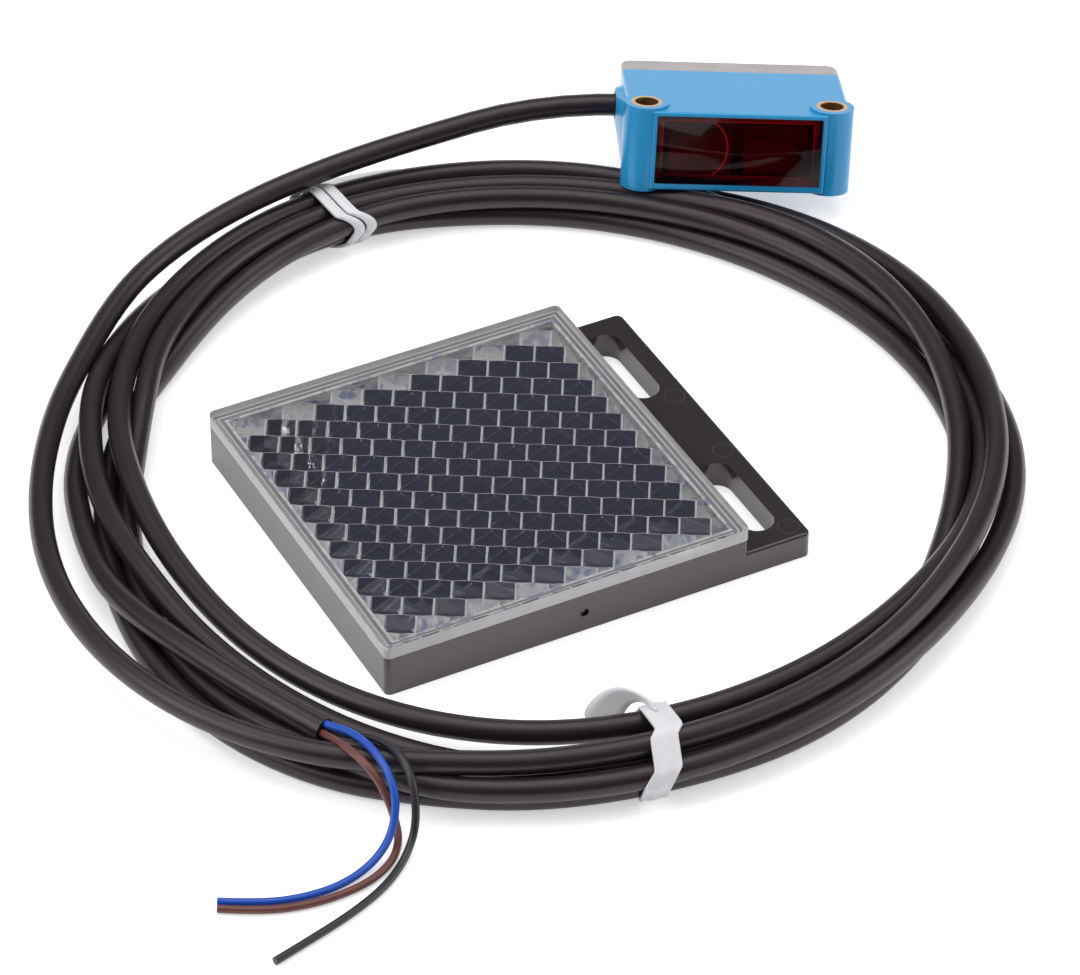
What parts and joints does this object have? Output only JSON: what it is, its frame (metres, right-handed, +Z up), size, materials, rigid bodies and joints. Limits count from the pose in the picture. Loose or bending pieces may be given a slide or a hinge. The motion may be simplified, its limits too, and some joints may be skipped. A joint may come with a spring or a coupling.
{
  "type": "retroreflective photoelectric sensor",
  "caption": "Small block-shaped retroreflective photoelectric sensor with a dark red window, its coiled cable with bare wire ends, and a slotted corner-cube prism reflector.",
  "frame": {"origin": "centre of the underside of the reflector's square plate, on the bench", "axes": "+Z up out of the reflector's prism face, +X towards its mounting tab, +Y along the tab"},
  "size_m": [0.1433, 0.1347, 0.0179],
  "materials": {
    "blue_housing": "glossy moulded plastic",
    "clear_plastic": "clear moulded plastic, slightly smoky",
    "red_window": "polished, very dark red, light shows through dimly",
    "brass": "turned, bright",
    "black_plastic": "matt black",
    "lens_plastic": "polished clear",
    "polariser_film": "smooth grey film",
    "led_package": "white package with a clear dome",
    "diode_package": "dark package",
    "board": "green solder resist",
    "chip": "matt black package",
    "led_green": "milky green",
    "led_yellow": "milky yellow",
    "cable_jacket": "satin black jacket",
    "wire_blue": "smooth insulation",
    "wire_brown": "smooth insulation",
    "wire_black": "smooth insulation",
    "tie_plastic": "milky, lets a little light through",
    "charcoal_plastic": "satin charcoal",
    "prism_plastic": "polished clear, facets bright and dark"
  },
  "bodies": {
    "root": {"sensor_housing": "blue_housing", "rear_cover": "clear_plastic", "front_window": "red_window", "mounting_bush_left": "brass", "mounting_bush_right": "brass", "optics_carrier": "black_plastic", "emitter_lens": "lens_plastic", "receiver_lens": "lens_plastic", "emitter_polariser": "polariser_film", "receiver_polariser": "polariser_film", "emitter_led": "led_package", "receiver_diode": "diode_package", "circuit_board": "board", "signal_chip": "chip", "indicator_led_green": "led_green", "indicator_led_yellow": "led_yellow", "cable_seal": "black_plastic", "cable_lead": "cable_jacket", "cable_coil": "cable_jacket", "cable_tail": "cable_jacket", "wire_blue": "wire_blue", "wire_brown": "wire_brown", "wire_black": "wire_black", "rear_twist_tie": "tie_plastic", "front_twist_tie": "tie_plastic", "reflector_base": "charcoal_plastic", "reflector_lens": "prism_plastic"}
  },
  "joints": []
}
